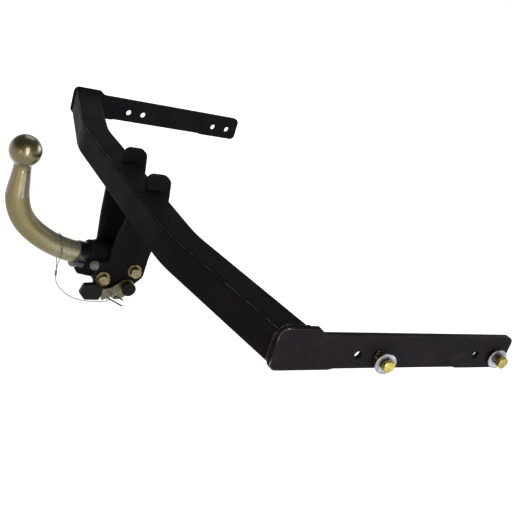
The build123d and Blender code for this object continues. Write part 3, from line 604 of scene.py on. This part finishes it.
def loose_washer(name, node, y, x, body):
    """A large washer that replaces an arm's loose one: half a millimetre low and eight degrees askew."""
    points, faces = washer_shape(BOLT_D / 2 + 0.0009, 0.0152, 0.0025)
    lean = np.radians(8.0)
    points = points + [0.0, -0.0005, 0.0]
    points = placed(points, (0, 0, 0), (np.cos(lean), 0, np.sin(lean)), (-np.sin(lean), 0, np.cos(lean)))
    points = placed(points, (x, y, ARM_HOLE_Z), (0, 1, 0), (1, 0, 0))
    piece = make_piece(name, points, faces, washer_zinc, body)
    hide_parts(node)


def receiver_fasteners():
    """Two screws a side with their plain washers, at their places along the shank and above its axis."""
    screws, washers = [], []
    for along, up in RECEIVER_BOLTS:
        centre = MOUTH + ALONG_SHANK * along + ABOVE_SHANK * up
        points, faces = screw_shape(0.026)
        screw = placed(points, centre + [0.048, 0, 0], (0, 0.94, 0.34), (1, 0, 0)), faces
        points, faces = washer_shape(BOLT_D / 2 + 0.0003, 0.012, 0.003)
        washer = placed(points, centre + [0.0415, 0, 0], (0, 1, 0), (1, 0, 0)), faces
        screws += [screw, mirrored(screw)]
        washers += [washer, mirrored(washer)]
    for name, node, shapes in (("receiver_screws", "receiver_bolts", screws),
                               ("receiver_plain_washers", "receiver_flat_washers", washers)):
        piece = make_piece(name, *together(shapes), bolt_zinc, "frame")
        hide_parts(node)


def weld_beads():
    """The beads round the beam's ends and along the coupling plates, in place of the plain ones."""
    bottom = BEAM_TOP - BEAM_SIZE
    rear = BEAM_FRONT - BEAM_SIZE
    deep = BEAM_SIZE / np.cos(END_ANGLE)
    front_y = BEAM_FRONT - BEAM_SIZE / 2 + deep / 2 + END_SLOPE * (ARM_INNER_X - BEND_X)
    back_y = front_y - deep
    x, leg = ARM_INNER_X, 0.006
    along = np.array([-1.0, -END_SLOPE, 0.0]) / np.hypot(1.0, END_SLOPE) * leg
    y0, y1 = back_y + BEAM_CORNER + 0.001, front_y - BEAM_CORNER - 0.001
    z0, z1 = bottom + BEAM_CORNER, BEAM_TOP - BEAM_CORNER
    ends = [
        bead_shape((x, y0, BEAM_TOP), (x, y1, BEAM_TOP), (-leg, 0, 0), (0, 0, leg)),
        bead_shape((x, y0, bottom), (x, y1, bottom), (-leg, 0, 0), (0, 0, -leg)),
        bead_shape((x, front_y, z0), (x, front_y, z1), along, (0, leg, 0)),
        bead_shape((x, back_y, z0), (x, back_y, z1), along, (0, 0.0015 - leg, 0)),
    ]
    inner, outer = PLATE_X
    leg = 0.005
    hook, ahead, low = BEAM_FRONT - 0.023, BEAM_FRONT - BEAM_CORNER, rear + 0.010
    plates = [
        bead_shape((outer, hook, BEAM_TOP), (outer, ahead, BEAM_TOP), (leg, 0, 0), (0, 0, leg)),
        bead_shape((outer, BEAM_FRONT, z0), (outer, BEAM_FRONT, z1), (leg, 0, 0), (0, leg, 0)),
        bead_shape((inner, BEAM_FRONT, z0), (inner, BEAM_FRONT, z1), (-leg, 0, 0), (0, leg, 0)),
        bead_shape((outer, low, bottom), (outer, ahead, bottom), (leg, 0, 0), (0, 0, -leg)),
        bead_shape((inner, low, bottom), (inner, ahead, bottom), (-leg, 0, 0), (0, 0, -leg)),
    ]
    left_ends = [mirrored(bead) for bead in ends]
    left_plates = [mirrored(bead) for bead in plates]
    for place, beads in (("right_beam", ends), ("right_plate", plates),
                         ("left_beam", left_ends), ("left_plate", left_plates)):
        piece = make_piece(place + "_bead", *together(beads), paint, "frame", 60.0)
        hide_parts(place + "_weld")


loose_screw("rear_loose_screw", "rear_arm_bolt", REAR_BOLT_Y, REAR_HEAD_X, rear_zinc, "rear_bolt")
loose_screw("front_loose_screw", "front_arm_bolt", FRONT_BOLT_Y, FRONT_HEAD_X, front_zinc, "front_bolt")
loose_washer("rear_loose_washer", "rear_arm_washer", REAR_BOLT_Y, REAR_WASHER_X, "rear_bolt")
loose_washer("front_loose_washer", "front_arm_washer", FRONT_BOLT_Y, FRONT_WASHER_X, "front_bolt")
receiver_fasteners()
weld_beads()


def pale_floor():
    """Matt pale floor. A ray from the camera, a gloss or glass sees it topped up to white, fully so
    away from the object, and a little less under it, where its shadow stays."""
    material, tree = opened("pale_floor")
    seen = add(tree, "ShaderNodeLightPath")
    looks = math_of(tree, "MAXIMUM", seen.outputs["Is Camera Ray"], seen.outputs["Is Glossy Ray"])
    looks = math_of(tree, "MAXIMUM", looks, seen.outputs["Is Transmission Ray"])
    place = add(tree, "ShaderNodeTexCoord").outputs["Object"]
    away = add(tree, "ShaderNodeVectorMath", {"operation": "DISTANCE"}, {0: place, 1: (0.0, 0.3, FLOOR_Z)})
    top_up = between(tree, away.outputs["Value"], 0.7, 1.5, 0.72, 1.0)
    matt = add(tree, "ShaderNodeBsdfDiffuse", (), {"Color": linear("#e6e6e6")}).outputs[0]
    glow = add(tree, "ShaderNodeEmission", (), {
        "Color": linear("#ffffff"), "Strength": math_of(tree, "MULTIPLY", looks, top_up)}).outputs[0]
    both = add(tree, "ShaderNodeAddShader", (), {0: matt, 1: glow}).outputs[0]
    add(tree, "ShaderNodeOutputMaterial", (), {"Surface": both})
    return material


def studio_floor():
    """A round floor, as rings of points round the object's middle."""
    radius = np.array([0.0, 0.5, 1.5, 4.0, 14.0, 40.0])[:, None]
    angle = np.linspace(0, 2 * np.pi, 48, endpoint=False)[None, :]
    points = np.stack([radius * np.cos(angle), 0.25 + radius * np.sin(angle),
                       np.full((6, 48), FLOOR_Z)], -1)
    mesh = bpy.data.meshes.new("floor")
    mesh.from_pydata(points.reshape(-1, 3).tolist(), [], grid_faces(6, 48))
    mesh.materials.append(pale_floor())
    floor = bpy.data.objects.new("floor", mesh)
    collection.objects.link(floor)


def studio_air():
    """White at and below the horizon, for any ray that sees it, and dim grey overhead."""
    world = bpy.data.worlds.new("studio_air")
    world.use_nodes = True
    tree = world.node_tree
    tree.nodes.clear()
    way = add(tree, "ShaderNodeTexCoord").outputs["Generated"]
    height = add(tree, "ShaderNodeSeparateXYZ", (), {0: way}).outputs[2]
    overhead = between(tree, height, 0.05, 0.40)
    colour = tint(tree, overhead, linear("#ffffff"), linear("#727274"))
    air = add(tree, "ShaderNodeBackground", (), {"Color": colour, "Strength": 1.0}).outputs[0]
    add(tree, "ShaderNodeOutputWorld", (), {"Surface": air})
    bpy.context.scene.world = world


def softbox(name, azimuth, elevation, distance, width, height, power, colour="#ffffff", target=(0, 0, 0)):
    """A lamp with a soft rectangular face, by its direction from what it lights: azimuth from +X to +Y."""
    azimuth = np.radians(azimuth)
    elevation = np.radians(elevation)
    level = np.cos(elevation)
    way = Vector((level * np.cos(azimuth), level * np.sin(azimuth), np.sin(elevation)))
    data = bpy.data.lights.new(name, "AREA")
    data.shape = "RECTANGLE"
    data.size = width
    data.size_y = height
    data.energy = power
    data.color = linear(colour)[:3]
    lamp = bpy.data.objects.new(name, data)
    turned = way.to_track_quat("Z", "Y").to_matrix().to_4x4()
    lamp.matrix_world = Matrix.Translation(Vector(target) + way * distance) @ turned
    collection.objects.link(lamp)


# Large lamps light the object evenly, and the small ones draw the streaks on the ball and throat
studio_floor()
studio_air()
softbox("front_window", 0.0, 20.0, 2.4, 0.85, 1.6, 33.0)
softbox("low_side_light", 32.0, -24.0, 0.62, 0.42, 0.14, 0.9, "#f4f2ff", (0.49, 0.42, -0.03))
softbox("foot_of_window", 0.0, -1.0, 1.7, 0.20, 0.44, 5.5)
softbox("side_window", -44.0, 2.0, 1.7, 0.13, 0.60, 4.5, "#ffb585")
softbox("back_fill", 160.0, 50.0, 3.0, 1.8, 1.8, 16.0, "#ffffff", (0.0, 0.3, 0.0))
softbox("far_window", 100.0, 14.0, 3.0, 1.8, 1.0, 26.0, "#ffffff", (0.0, 0.3, -0.05))
bpy.context.scene.view_settings.view_transform = "Standard"
